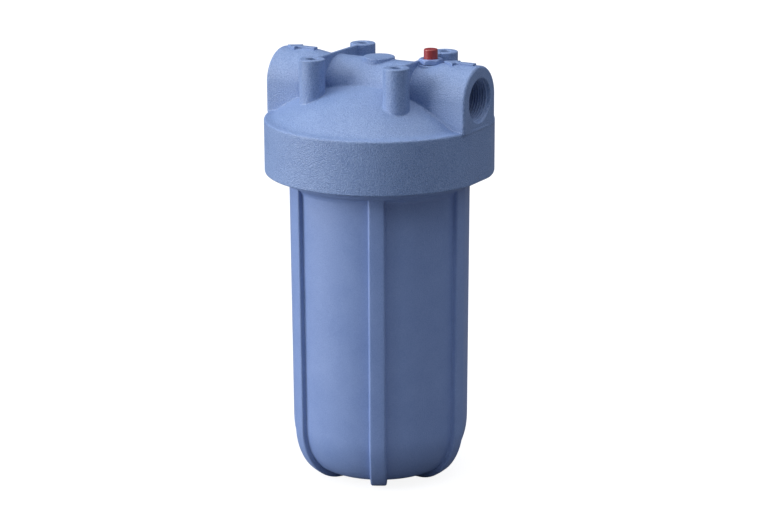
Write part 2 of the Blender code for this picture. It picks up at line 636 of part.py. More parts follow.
def end_cap(name, face_z, inward):
    """A cartridge end cap: a disc with a rim round the pleats and a recess for its gasket."""
    recess = GASKET_HEIGHT - GASKET_PROUD + GAP
    inner_face = face_z + inward * END_CAP_THICKNESS
    rim = inner_face + inward * END_CAP_SKIRT
    outline = [(END_CAP_BORE, face_z + inward * recess)]
    outline += [(GASKET_OUTER_RADIUS + GAP, face_z + inward * recess)]
    outline += [(GASKET_OUTER_RADIUS + GAP, face_z)]
    outline += [(CARTRIDGE_RADIUS - END_CAP_CHAMFER, face_z)]
    outline += [(CARTRIDGE_RADIUS, face_z + inward * END_CAP_CHAMFER)]
    outline += [(CARTRIDGE_RADIUS, rim), (CARTRIDGE_RADIUS - END_CAP_WALL, rim)]
    outline += [(CARTRIDGE_RADIUS - END_CAP_WALL, inner_face), (END_CAP_BORE, inner_face)]
    return lathe(name, outline, END_WHITE, 40)


def gasket(name, face_z, inward):
    """A flat gasket, standing a little proud of its end cap."""
    outer = face_z - inward * GASKET_PROUD
    inner = outer + inward * GASKET_HEIGHT
    outline = [(GASKET_INNER_RADIUS, outer), (GASKET_OUTER_RADIUS, outer)]
    outline += [(GASKET_OUTER_RADIUS, inner), (GASKET_INNER_RADIUS, inner)]
    return lathe(name, outline, GASKET_GREY, 32)


def make_media(bottom, top):
    """The pleated sheet: a ring with a zigzag outer face."""
    outline = []
    for i in range(2 * PLEAT_COUNT):
        a = math.pi * i / PLEAT_COUNT
        radius = MEDIA_RADIUS if i % 2 == 0 else MEDIA_RADIUS - PLEAT_DEPTH
        outline.append((radius * math.cos(a), radius * math.sin(a)))
    media = prism("cartridge_media", outline, bottom, top, lambda u, v, w: (u, v, w),
                  MEDIA_WHITE)
    combine(media, "DIFFERENCE", rod_z("media_bore", MEDIA_BORE, bottom - EPS, top + EPS,
                                       0.0, 0.0))
    return media


def make_cartridge():
    """The replaceable cartridge: end caps, gaskets, core and pleated media."""
    bottom_face = CARTRIDGE_BOTTOM_Z + GASKET_PROUD
    top_face = CARTRIDGE_BOTTOM_Z + CARTRIDGE_LENGTH - GASKET_PROUD
    end_cap("cartridge_bottom_cap", bottom_face, 1)
    end_cap("cartridge_top_cap", top_face, -1)
    gasket("cartridge_bottom_gasket", bottom_face, 1)
    gasket("cartridge_top_gasket", top_face, -1)
    low = bottom_face + END_CAP_THICKNESS + GAP
    high = top_face - END_CAP_THICKNESS - GAP
    make_media(low, high)
    core = [(CORE_BORE, low), (CORE_RADIUS, low), (CORE_RADIUS, high), (CORE_BORE, high)]
    lathe("cartridge_core", core, CORE_WHITE, 32)


make_sump()
make_sump_seal()
make_cap()
make_bushing()
make_button()
make_stem()
make_valve_seal()
make_spring()
make_cartridge()
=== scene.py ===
"""Looks of the upright cartridge filter housing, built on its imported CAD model.

Shapes are worked out in millimetres and put into the frame's metres when a mesh is made.
"""

import itertools
import math

import bmesh
import bpy
import numpy as np
from mathutils import Matrix, Vector


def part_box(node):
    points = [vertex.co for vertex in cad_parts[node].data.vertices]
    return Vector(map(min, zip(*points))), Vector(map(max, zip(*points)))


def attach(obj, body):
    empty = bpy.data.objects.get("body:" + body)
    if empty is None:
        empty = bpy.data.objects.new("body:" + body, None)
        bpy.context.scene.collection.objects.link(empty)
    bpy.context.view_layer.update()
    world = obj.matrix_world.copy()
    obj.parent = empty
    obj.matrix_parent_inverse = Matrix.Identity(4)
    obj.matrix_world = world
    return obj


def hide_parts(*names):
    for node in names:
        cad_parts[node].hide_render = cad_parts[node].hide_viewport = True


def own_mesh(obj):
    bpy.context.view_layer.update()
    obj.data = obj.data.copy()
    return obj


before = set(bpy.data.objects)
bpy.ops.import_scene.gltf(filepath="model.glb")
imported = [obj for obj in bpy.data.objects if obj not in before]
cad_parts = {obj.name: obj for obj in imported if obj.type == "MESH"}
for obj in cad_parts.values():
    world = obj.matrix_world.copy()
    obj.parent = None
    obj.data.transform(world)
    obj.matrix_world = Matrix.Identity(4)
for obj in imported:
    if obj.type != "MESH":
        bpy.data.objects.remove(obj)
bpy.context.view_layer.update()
MM = 0.001


def box_mm(node):
    """A CAD node's lowest and highest corners in millimetres."""
    low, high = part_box(node)
    return np.array(low) / MM, np.array(high) / MM


# ---------------------------------------------------------------- sizes, from the frame
CAP_LOW, CAP_HIGH = box_mm("cap")
SEAL_LOW, SEAL_HIGH = box_mm("sump_o_ring")
BUSHING_LOW, BUSHING_HIGH = box_mm("relief_bushing")
BUTTON_LOW, BUTTON_HIGH = box_mm("relief_button")
STEM_LOW, STEM_HIGH = box_mm("relief_stem")
WASHER_LOW, WASHER_HIGH = box_mm("relief_seal")
SPRING_LOW, SPRING_HIGH = box_mm("relief_spring")
CORE_LOW, CORE_HIGH = box_mm("cartridge_core")
MEDIA_LOW, MEDIA_HIGH = box_mm("cartridge_media")
TOP_CAP_LOW, TOP_CAP_HIGH = box_mm("cartridge_top_cap")
BOTTOM_CAP_LOW, BOTTOM_CAP_HIGH = box_mm("cartridge_bottom_cap")
TOP_GASKET_LOW, TOP_GASKET_HIGH = box_mm("cartridge_top_gasket")
BOTTOM_GASKET_LOW, BOTTOM_GASKET_HIGH = box_mm("cartridge_bottom_gasket")

RING_RADIUS = CAP_HIGH[1]
RING_BOTTOM_Z = CAP_LOW[2] - 1.2   # the ring reaches a little lower than its CAD solid
PORT_FACE_X = CAP_HIGH[0]
VALVE_X = (STEM_LOW[0] + STEM_HIGH[0]) / 2
RIM_Z = box_mm("sump")[1][2]

# ---------------------------------------------------------------- the cap's other sizes
DOME_TOP_Z = 326.3
DOME_BALL = 136.2            # radius of the sphere that the dome is part of
DOME_CENTRE_Z = DOME_TOP_Z - DOME_BALL
DOME_FOOT_RADIUS = 84.0
DOME_FOOT_Z = 297.3
DOME_SKIRT = 4.0             # how far the dome's edge goes on past its foot, inside the ring
DOME_WALL = 6.0
DOME_FILLET = 1.5
SHOULDER_SLOPE = math.radians(8)
SHOULDER_ROUND = 1.5
RING_BOTTOM_ROUND = 1.3
RING_FLAT_ROUND = 1.0
SEAL_FACE_Z = 288.8
CHAMBER_RADIUS = 70.0
CHAMBER_ROUND = 3.0
BORE_ROUND = 0.8
TUBE_Z = 319.5               # centre of the port tube's half round top
PORT_Z = 318.1               # axis of the ports and passages
BLOCK_HALF_WIDTH = 25.7       # at the port faces
TUBE_HALF_WIDTH = 23.5        # between the blocks
TUBE_FILLET = 1.2
PORT_FACE_ROUND = 2.2
BLOCK_BOTTOM_ROUND = 1.5
BLOCK_BOTTOM_Z = 294.5
BLOCK_START_X = 44.0
BLOCK_FULL_X = 64.0
COUNTERBORE_RADIUS = 17.5
COUNTERBORE_END_X = 66.3
PASSAGE_RADIUS = 13.0
INLET_END_X = 36.0
OUTLET_END_X = 9.5
INLET_DROP_X = 55.0
INLET_DROP_RADIUS = 11.0
OUTLET_DROP_RADIUS = 12.2
DUCT_RADIUS = 18.0
DUCT_END_X = 84.0
DUCT_FILLET = 1.5
NOZZLE_RADIUS = 19.5
NOZZLE_ROUND = 2.0
NOZZLE_BOTTOM_Z = 272.0
BOSS_X = 38.0
BOSS_Y = 39.5
BOSS_RADIUS = 10.3
BOSS_TOP_Z = 346.0
BOSS_HOLE_RADIUS = 4.3
BOSS_HOLE_DEPTH = 24.0
WEB_HALF_THICKNESS = 1.3
WEB_DROP = 0.2                # how far the webs' tops are below the bosses'
TOP_ROUND = 0.9               # edges and feet of the bosses and webs, and the disc's edge
DISC_RADIUS = 12.5
DISC_TOP_Z = 345.0
VALVE_BOSS_RADIUS = 10.2
VALVE_BOSS_Z = 343.2
VALVE_WELL_RADIUS = 8.0
VALVE_WELL_FLOOR_Z = 336.0
STEM_HOLE_RADIUS = 2.1
SEAT_ROUND = 0.8              # the valve seat's edge, and its foot and the disc's
MOUTH_ROUND = 0.7             # edges of the holes, passages and ports
ARROW_X = 72.0
ARROW_LENGTH = 27.0
ARROW_HEAD = 11.0
ARROW_HALF_WIDTH = 7.0
ARROW_SHAFT_HALF_WIDTH = 2.8
ARROW_SUNK = 3.0              # how far the arrows start below the tube's crest
ARROW_RISE = 0.4
ARROW_EDGE = 0.45
CAP_MARGIN = 2.0              # room round the cap's box in which its surface is looked for
CAP_VOXEL = 0.85

# ---------------------------------------------------------------- threads
THREAD_PITCH = 6.35
CAP_THREAD_ROOT = 85.0
CAP_THREAD_CREST = 81.6
SUMP_THREAD_ROOT = 80.8
SUMP_THREAD_CREST = 84.2
THREAD_TURNS = 4.2
THREAD_START_Z = 258.6
PIPE_PITCH = 25.4 / 11.5
PIPE_THREAD_DEPTH = 1.4
PIPE_TAPER = 32               # a pipe thread's radius falls by 1 in this
PIPE_START = 0.9              # how far inside the port's face its lining starts

# ---------------------------------------------------------------- the sump's other sizes
FLOOR_Z = 4.7
FOOT_RADIUS = 41.5            # where a foot's flat underside ends
BODY_FLOOR_RADIUS = 41.0
RIB_ROOT_RADIUS = 27.0        # the ribs' width is spread over at least this radius
BODY_LOW_RADIUS = 71.2
BODY_HIGH_RADIUS = 72.3
BODY_CORNER_Z = 47.0
BODY_TOP_Z = 232.0
FLARE_TOP_Z = 246.0
SUMP_WALL = 5.0
RIB_COUNT = 6
RIB_PHASE = math.radians(-62)
RIB_HALF_WIDTH = 6.45
RIB_HEIGHT = 4.2
COLLAR_FOOT_RADIUS = 78.5
COLLAR_BOTTOM_Z = 256.5
COLLAR_BORE_RADIUS = 71.5

# ---------------------------------------------------------------- the cartridge's other sizes
END_CAP_HOLE_RADIUS = 14.3
GASKET_HOLE_RADIUS = 14.8
GASKET_RECESS_RADIUS = 21.3
END_CAP_RINGS = (30.0, 38.0, 46.0)


# ---------------------------------------------------------------- materials
NOISE_LOW, NOISE_HIGH = 0.3, 0.7   # the range that most of a noise's values fall in


def add_node(tree, kind, inputs=None, **settings):
    """A shader node whose inputs are set to values or linked to sockets."""
    node = tree.nodes.new(kind)
    for name, value in settings.items():
        setattr(node, name, value)
    for name, value in (inputs or {}).items():
        if isinstance(value, bpy.types.NodeSocket):
            tree.links.new(value, node.inputs[name])
        else:
            node.inputs[name].default_value = value
    return node


def noise(tree, place, size, detail=2.0, roughness=0.5):
    """Cloudy noise whose features are about size millimetres across."""
    inputs = {"Vector": place, "Scale": 1 / (size * MM), "Detail": detail, "Roughness": roughness}
    return add_node(tree, "ShaderNodeTexNoise", inputs).outputs["Fac"]


def spread(tree, value, low, high):
    """Stretches a noise's middle range over low to high."""
    inputs = {"Value": value, "From Min": NOISE_LOW, "From Max": NOISE_HIGH, "To Min": low, "To Max": high}
    return add_node(tree, "ShaderNodeMapRange", inputs).outputs["Result"]


def two_colours(tree, value, first, second):
    """Runs from the first colour to the second over a noise's middle range."""
    ramp = add_node(tree, "ShaderNodeValToRGB", {"Fac": value})
    ends = zip(ramp.color_ramp.elements, (NOISE_LOW, NOISE_HIGH), (first, second))
    for element, position, colour in ends:
        element.position = position
        element.color = (*colour, 1.0)
    return ramp.outputs["Color"]


def bump(tree, height, depth, normal=None):
    """Bumps of about depth millimetres, on top of any earlier ones."""
    inputs = {"Height": height, "Distance": depth * MM, "Strength": 1.0}
    if normal is not None:
        inputs["Normal"] = normal
    return add_node(tree, "ShaderNodeBump", inputs).outputs["Normal"]


def start_material(name, metallic=0.0, specular=0.5):
    """A Principled material, its tree, its shader and the object's own coordinates."""
    material = bpy.data.materials.new(name)
    material.use_nodes = True
    tree = material.node_tree
    shader = tree.nodes["Principled BSDF"]
    shader.inputs["Metallic"].default_value = metallic
    shader.inputs["Specular IOR Level"].default_value = specular
    place = add_node(tree, "ShaderNodeTexCoord").outputs["Object"]
    return material, tree, shader, place


def link_surface(tree, shader, colour, roughness, normal):
    """Puts a colour, a roughness and a normal on the shader."""
    tree.links.new(colour, shader.inputs["Base Color"])
    tree.links.new(roughness, shader.inputs["Roughness"])
    tree.links.new(normal, shader.inputs["Normal"])


def moulded_plastic(name, dark, light, roughness, grain, depth, speckle=0.4, mottle=26.0):
    """Moulded plastic: faint flow mottling, a stipple from the mould and uneven gloss.

    The stipple is grain across and depth deep, the mottling is mottle across, in millimetres,
    and speckle is the stipple's share of the colour.
    """
    material, tree, shader, place = start_material(name, specular=0.8)
    cloud = noise(tree, place, mottle, 3.0, 0.6)
    stipple = noise(tree, place, grain, 1.0, 0.5)
    mixed = add_node(tree, "ShaderNodeMix", {0: speckle, 2: cloud, 3: stipple})
    colour = two_colours(tree, mixed.outputs[0], dark, light)
    rough = spread(tree, cloud, roughness - 0.05, roughness + 0.05)
    waves = bump(tree, noise(tree, place, 34.0, 1.0), 0.12)
    normal = bump(tree, stipple, depth, waves)
    link_surface(tree, shader, colour, rough, normal)
    return material


def soft_rubber(name, dark, light, roughness=0.6):
    """Moulded rubber with a dusty bloom."""
    material, tree, shader, place = start_material(name, specular=0.4)
    bloom = noise(tree, place, 5.0, 4.0, 0.65)
    colour = two_colours(tree, bloom, dark, light)
    rough = spread(tree, bloom, roughness - 0.1, roughness + 0.12)
    normal = bump(tree, noise(tree, place, 0.5), 0.02)
    link_surface(tree, shader, colour, rough, normal)
    return material


def worked_metal(name, dark, light, roughness, stretch):
    """Turned or drawn metal, with fine marks stretched along one direction."""
    material, tree, shader, place = start_material(name, metallic=1.0)
    squeezed = add_node(tree, "ShaderNodeMapping", {"Vector": place, "Scale": stretch})
    marks = noise(tree, squeezed.outputs["Vector"], 0.6, 3.0, 0.6)
    colour = two_colours(tree, noise(tree, place, 3.0, 3.0), dark, light)
    rough = spread(tree, marks, roughness - 0.08, roughness + 0.08)
    link_surface(tree, shader, colour, rough, bump(tree, marks, 0.008))
    return material


def filter_fabric(name):
    """Non-woven polyester: tangled fibres pressed with a small diamond bond pattern."""
    material, tree, shader, place = start_material(name, specular=0.2)
    fibres = noise(tree, place, 0.5, 6.0, 0.75)
    bonds = add_node(tree, "ShaderNodeTexVoronoi", {"Vector": place, "Scale": 1 / (1.8 * MM)})
    colour = two_colours(tree, fibres, (0.74, 0.75, 0.72), (0.88, 0.89, 0.87))
    rough = spread(tree, fibres, 0.82, 0.96)
    pressed = bump(tree, bonds.outputs["Distance"], 0.08)
    link_surface(tree, shader, colour, rough, bump(tree, fibres, 0.05, pressed))
    return material


CAP_PLASTIC = moulded_plastic("cap_plastic", (0.118, 0.208, 0.450), (0.252, 0.366, 0.630),
                              0.50, 0.95, 0.60, 0.8)
SUMP_PLASTIC = moulded_plastic("sump_plastic", (0.160, 0.256, 0.540), (0.222, 0.330, 0.630),
                               0.45, 0.9, 0.20, 0.6)
RED_PLASTIC = moulded_plastic("button_plastic", (0.28, 0.028, 0.03), (0.36, 0.04, 0.043),
                              0.30, 0.6, 0.01, 0.4, 6.0)
RUBBER = soft_rubber("seal_rubber", (0.012, 0.012, 0.013), (0.035, 0.035, 0.037), 0.45)
GASKET_RUBBER = soft_rubber("gasket_rubber", (0.12, 0.125, 0.13), (0.20, 0.205, 0.21))
SPRING_STEEL = worked_metal("spring_wire", (0.50, 0.50, 0.49), (0.66, 0.66, 0.65), 0.28, (1, 1, 6))
STEM_BRASS = worked_metal("turned_brass", (0.60, 0.42, 0.17), (0.74, 0.55, 0.27), 0.30, (1, 1, 8))
CORE_PLASTIC = moulded_plastic("core_plastic", (0.74, 0.75, 0.75), (0.83, 0.84, 0.84), 0.45, 1.2, 0.02)
END_PLASTIC = moulded_plastic("end_cap_vinyl", (0.60, 0.68, 0.76), (0.70, 0.77, 0.83), 0.40, 0.9, 0.02)
FABRIC = filter_fabric("pleated_fabric")


# ---------------------------------------------------------------- meshes
def make_piece(name, points, faces, material, body, slot, stands_for=()):
    """A smooth mesh from points in millimetres, riding on a CAD body."""
    mesh = bpy.data.meshes.new(name)
    mesh.from_pydata((np.asarray(points, float) * MM).tolist(), [], [list(face) for face in faces])
    mesh.materials.append(material)
    mesh.shade_smooth()
    obj = bpy.data.objects.new(name, mesh)
    bpy.context.scene.collection.objects.link(obj)
    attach(obj, body)
    if stands_for:
        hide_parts(*stands_for)
    return obj


def even_normals(obj):
    """Shades flat faces flat beside their small rounded edges."""
    obj.modifiers.new("even_normals", "WEIGHTED_NORMAL").keep_sharp = True


def close_rows(rows, columns, closed=True):
    """Quads between neighbouring rings of points, and from the last ring to the first if closed."""
    steps = rows if closed else rows - 1
    first = np.arange(steps)[:, None] * columns
    second = (np.arange(steps)[:, None] + 1) % rows * columns
    here = np.arange(columns)[None, :]
    there = (here + 1) % columns
    return np.stack([first + here, first + there, second + there, second + here], 2).reshape(-1, 4)


def rounded(corners, steps=4):
    """An outline with round corners, from (across, up, corner radius) in turn."""
    points = []
    for i, (u, v, radius) in enumerate(corners):
        corner = Vector((u, v))
        back = Vector(corners[i - 1][:2]) - corner
        ahead = Vector(corners[(i + 1) % len(corners)][:2]) - corner
        if radius <= 0:
            points.append((u, v))
            continue
        half = back.angle(ahead) / 2
        cut = min(radius / math.tan(half), 0.49 * back.length, 0.49 * ahead.length)
        back.normalize()
        ahead.normalize()
        centre = corner + (back + ahead).normalized() * cut / math.cos(half)
        spoke = corner + back * cut - centre
        sweep = -spoke.angle_signed(corner + ahead * cut - centre)
        for s in range(steps + 1):
            points.append(tuple(centre + Matrix.Rotation(sweep * s / steps, 2) @ spoke))
    return points


def turned(outline, segments=96, centre=(0.0, 0.0)):
    """Points and faces of an outline of (radius, height) turned about a vertical axis."""
    outline = np.array(outline)
    angle = np.arange(segments) * 2 * math.pi / segments
    x = centre[0] + outline[:, :1] * np.cos(angle)
    y = centre[1] + outline[:, :1] * np.sin(angle)
    z = np.repeat(outline[:, 1:2], segments, 1)
    points = np.stack([x, y, z], 2).reshape(-1, 3)
    return points, close_rows(len(outline), segments)[:, ::-1]


def merge_close(obj):
    """Joins the points that meet on an axis, and drops the faces that this empties."""
    mesh = obj.data
    bm = bmesh.new()
    bm.from_mesh(mesh)
    bmesh.ops.remove_doubles(bm, verts=bm.verts, dist=0.001 * MM)
    bmesh.ops.dissolve_degenerate(bm, edges=bm.edges, dist=0.0001 * MM)
    bmesh.ops.recalc_face_normals(bm, faces=bm.faces)
    bm.to_mesh(mesh)
    bm.free()
    mesh.shade_smooth()
    return obj


def swept(path, section, out, up):
    """Points and faces of a ring-shaped section carried along a path, with both ends capped."""
    points = path[:, None, :] + out[:, None, :] * section[None, :, :1] + up[:, None, :] * section[None, :, 1:]
    count = len(section)
    faces = close_rows(len(path), count, closed=False).tolist()
    faces += [list(range(count))[::-1], list(range((len(path) - 1) * count, len(path) * count))]
    return points.reshape(-1, 3), faces


# ---------------------------------------------------------------- shapes from a distance field
def round_max(a, b, radius):
    """What lies in both shapes, with the edge between them rounded."""
    corner = np.hypot(np.maximum(a + radius, 0), np.maximum(b + radius, 0))
    return np.minimum(np.maximum(a, b), -radius) + corner


def round_min(a, b, radius):
    """What lies in either shape, with a fillet between them."""
    return -round_max(-a, -b, radius)


def surface_of(field, low, high, step, passes=5):
    """Points, outward normals and quads on the surface where field is 0."""
    counts = np.ceil((np.array(high) - low) / step).astype(int) + 1
    axes = [low[i] + step * np.arange(counts[i]) for i in range(3)]
    x, y = np.meshgrid(axes[0], axes[1], indexing="ij")
    inside = np.stack([field(x, y, np.full_like(x, z)) < 0 for z in axes[2]], 2)
    total = np.zeros(counts - 1, np.int8)
    for corner in itertools.product((0, 1), repeat=3):
        total += inside[tuple(slice(c, n - 1 + c) for c, n in zip(corner, counts))]
    cells = np.argwhere((total > 0) & (total < 8))
    index = np.full(counts - 1, -1)
    index[tuple(cells.T)] = np.arange(len(cells))
    quads = []
    for axis in range(3):
        across, along = (axis + 1) % 3, (axis + 2) % 3
        near = inside.take(range(counts[axis] - 1), axis)
        far = inside.take(range(1, counts[axis]), axis)
        edges = np.argwhere(near != far)
        flip = far[tuple(edges.T)]
        corners = []
        for du, dv in ((-1, -1), (0, -1), (0, 0), (-1, 0)):
            cell = edges.copy()
            cell[:, across] += du
            cell[:, along] += dv
            corners.append(index[tuple(cell.T)])
        quad = np.stack(corners, 1)
        quad[flip] = quad[flip][:, ::-1]
        quads.append(quad)
    quads = np.concatenate(quads)
    points = np.array(low) + (cells + 0.5) * step
    for i in range(passes):
        if i:
            points = relax(points, quads)
        points, normals = settle(field, points, step)
    return points, normals, quads


def relax(points, quads):
    """Moves each point half way to the middle of its neighbours."""
    ends = np.concatenate([quads[:, [i, (i + 1) % 4]] for i in range(4)])
    count = np.bincount(ends[:, 0], minlength=len(points))
    middle = np.stack([np.bincount(ends[:, 0], points[ends[:, 1], k], len(points)) for k in range(3)], 1)
    return 0.5 * points + 0.5 * middle / count[:, None]


def settle(field, points, step, rounds=3, reach=0.05):
    """Moves points on to the surface along the field's slope, and gives the slope there."""
    for _ in range(rounds):
        slope = []
        for k in range(3):
            shift = np.zeros(3)
            shift[k] = reach
            slope.append((field(*(points + shift).T) - field(*(points - shift).T)) / (2 * reach))
        slope = np.stack(slope, 1)
        size = np.maximum((slope ** 2).sum(1), 0.05)
        move = (field(*points.T) / size)[:, None] * slope
        points = points - np.clip(move, -step, step)
    return points, slope / np.sqrt(size)[:, None]


# ---------------------------------------------------------------- cap
def cap_shell(x, z, r):
    """The ring with its sloped shoulder, cut flat at the ports, and the dome."""
    shoulder = z - DOME_FOOT_Z + (r - DOME_FOOT_RADIUS) * math.tan(SHOULDER_SLOPE)
    ring = round_max(r - RING_RADIUS, shoulder * math.cos(SHOULDER_SLOPE), SHOULDER_ROUND)
    ring = round_max(ring, RING_BOTTOM_Z - z, RING_BOTTOM_ROUND)
    ring = round_max(ring, np.abs(x) - PORT_FACE_X, RING_FLAT_ROUND)
    dome = np.hypot(r, z - DOME_CENTRE_Z) - DOME_BALL
    dome = np.maximum(np.maximum(dome, SEAL_FACE_Z - z), r - DOME_FOOT_RADIUS - DOME_SKIRT)
    return round_min(ring, dome, DOME_FILLET)


def cap_tube(x, y, z):
    """The tube that joins the ports, a little slimmer between them."""
    along = np.clip((np.abs(x) - BLOCK_START_X) / (BLOCK_FULL_X - BLOCK_START_X), 0, 1)
    along = along * along * (3 - 2 * along)
    half_width = TUBE_HALF_WIDTH + (BLOCK_HALF_WIDTH - TUBE_HALF_WIDTH) * along
    wall = np.hypot(y, np.maximum(z - TUBE_Z, 0)) - half_width
    tube = round_max(wall, np.abs(x) - PORT_FACE_X, PORT_FACE_ROUND)
    return round_max(tube, BLOCK_BOTTOM_Z - z, BLOCK_BOTTOM_ROUND)


def cap_hollows(z, r):
    """The threaded bore and the chamber under the dome."""
    bore = round_max(r - CAP_THREAD_ROOT, z - SEAL_FACE_Z, BORE_ROUND)
    under_dome = np.hypot(r, z - DOME_CENTRE_Z) - DOME_BALL + DOME_WALL
    return np.minimum(bore, round_max(r - CHAMBER_RADIUS, under_dome, CHAMBER_ROUND))


def cap_waterways(x, y, z, r):
    """The counterbored ports, their passages and the two drops into the chamber."""
    across = np.hypot(y, z - PORT_Z)
    ways = np.maximum(across - COUNTERBORE_RADIUS, COUNTERBORE_END_X - np.abs(x))
    ways = np.minimum(ways, np.maximum(across - PASSAGE_RADIUS, INLET_END_X - x))
    ways = np.minimum(ways, np.maximum(across - PASSAGE_RADIUS, x - OUTLET_END_X))
    inlet_drop = np.maximum(np.hypot(x - INLET_DROP_X, y) - INLET_DROP_RADIUS, z - PORT_Z)
    outlet_drop = np.maximum(r - OUTLET_DROP_RADIUS, z - PORT_Z)
    return np.minimum(ways, np.minimum(inlet_drop, outlet_drop))


def cap_field(x, y, z):
    """Signed distance to the cap, in millimetres, negative inside."""
    r = np.hypot(x, y)
    cap = round_min(cap_shell(x, z, r), cap_tube(x, y, z), TUBE_FILLET)
    from_boss = np.hypot(np.abs(x) - BOSS_X, np.abs(y) - BOSS_Y)
    boss = round_max(from_boss - BOSS_RADIUS, z - BOSS_TOP_Z, TOP_ROUND)
    web = round_max(np.abs(np.abs(x) - BOSS_X) - WEB_HALF_THICKNESS, np.abs(y) - BOSS_Y, TOP_ROUND)
    web = round_max(web, z - BOSS_TOP_Z + WEB_DROP, TOP_ROUND)
    disc = round_max(r - DISC_RADIUS, z - DISC_TOP_Z, TOP_ROUND)
    from_valve = np.hypot(x - VALVE_X, y)
    seat = round_max(from_valve - VALVE_BOSS_RADIUS, z - VALVE_BOSS_Z, SEAT_ROUND)
    for added, fillet in ((boss, TOP_ROUND), (web, TOP_ROUND), (disc, SEAT_ROUND), (seat, SEAT_ROUND)):
        cap = round_min(cap, added, fillet)
    cap = round_max(cap, -cap_hollows(z, r), BORE_ROUND)
    duct = np.maximum(np.hypot(y, z - PORT_Z) - DUCT_RADIUS, np.abs(x) - DUCT_END_X)
    nozzle = round_max(r - NOZZLE_RADIUS, NOZZLE_BOTTOM_Z - z, NOZZLE_ROUND)
    duct = round_min(duct, np.maximum(nozzle, z - PORT_Z), DUCT_FILLET)
    cap = round_min(cap, duct, DUCT_FILLET)
    cap = round_max(cap, -cap_waterways(x, y, z, r), MOUTH_ROUND)
    screw = np.maximum(from_boss - BOSS_HOLE_RADIUS, BOSS_TOP_Z - BOSS_HOLE_DEPTH - z)
    well = np.maximum(from_valve - VALVE_WELL_RADIUS, VALVE_WELL_FLOOR_Z - z)
    stem = np.maximum(from_valve - STEM_HOLE_RADIUS, PORT_Z - z)
    return round_max(cap, -np.minimum(screw, np.minimum(well, stem)), MOUTH_ROUND)


def make_cap():
    """The cap's moulding, with the threads inside it and the arrows on it."""
    low, high = CAP_LOW - CAP_MARGIN, CAP_HIGH + CAP_MARGIN
    points, normals, quads = surface_of(cap_field, low, high, CAP_VOXEL)
    cap = make_piece("cap_moulding", points, quads, CAP_PLASTIC, "cap", "cap_blue", ("cap",))
    cap.data.normals_split_custom_set_from_vertices(normals.tolist())
    ridge = thread_ridge(CAP_THREAD_ROOT, CAP_THREAD_CREST, THREAD_START_Z + THREAD_PITCH / 2)
    make_piece("cap_thread", *ridge, CAP_PLASTIC, "cap", "cap_blue")
    for name, side in (("inlet", 1), ("outlet", -1)):
        points, faces = pipe_thread(side)
        make_piece(f"{name}_pipe_thread", points, faces, CAP_PLASTIC, "cap", "cap_blue")
        make_arrow(f"{name}_flow_arrow", side)


def thread_ridge(root, crest, start_z):
    """A right-handed ridge on the cylinder of radius root, fading out at both ends."""
    per_turn = 96
    count = int(per_turn * THREAD_TURNS)
    step = np.arange(count + 1)
    angle = 2 * math.pi * step / per_turn
    fade = np.clip(np.minimum(step, count - step) / (per_turn / 5), 0, 1)
    fade = fade * fade * (3 - 2 * fade)
    height = (crest - root) * (0.06 + 0.94 * fade)
    sunk = -0.5 if crest > root else 0.5
    profile = rounded([(0.0, -1.9, 0), (1.0, -0.75, 0.5), (1.0, 0.75, 0.5), (0.0, 1.9, 0)])
    profile = [(-0.1, -1.9)] + profile + [(-0.1, 1.9)]
    rows = []
    for a, h, z in zip(angle, height, start_z + THREAD_PITCH * step / per_turn):
        rows.append([((root + sunk * (u < 0) + h * max(u, 0)) * math.cos(a),
                      (root + sunk * (u < 0) + h * max(u, 0)) * math.sin(a), z + v)
                     for u, v in profile])
    points = np.array(rows).reshape(-1, 3)
    columns = len(profile)
    faces = close_rows(len(rows), columns, closed=False).tolist()
    faces += [list(range(columns)), list(range(len(points) - columns, len(points)))[::-1]]
    return points, faces


def pipe_thread(side):
    """The tapered thread in a port, as a sleeve set into the counterbore."""
    per_pitch = 8
    columns = 96
    depth = PORT_FACE_X - COUNTERBORE_END_X
    rows = int(depth / PIPE_PITCH * per_pitch)
    inward = np.linspace(PIPE_START, depth, rows)[:, None]
    angle = 2 * math.pi * np.arange(columns)[None, :] / columns
    phase = (inward / PIPE_PITCH + side * angle / (2 * math.pi)) % 1.0
    tooth = np.clip(1.35 * (1 - np.abs(2 * phase - 1)) - 0.15, 0, 1)
    root = COUNTERBORE_RADIUS - 0.15 - inward / PIPE_TAPER
    started = np.clip((inward - 1.2) / 2.0, 0, 1)
    radius = root - PIPE_THREAD_DEPTH * tooth * started
    end = np.full((1, columns), PASSAGE_RADIUS)
    outer = np.full((1, columns), COUNTERBORE_RADIUS + 0.5)
    radius = np.concatenate([radius, end, outer, outer])
    reach = inward[:, 0].tolist() + [depth + 0.2, depth + 0.2, PIPE_START]
    x = side * (PORT_FACE_X - np.repeat(np.array(reach)[:, None], columns, 1))
    points = np.stack([x, radius * np.cos(angle), PORT_Z + radius * np.sin(angle)], 2).reshape(-1, 3)
    faces = close_rows(rows + 3, columns)
    return points, faces if side < 0 else faces[:, ::-1]


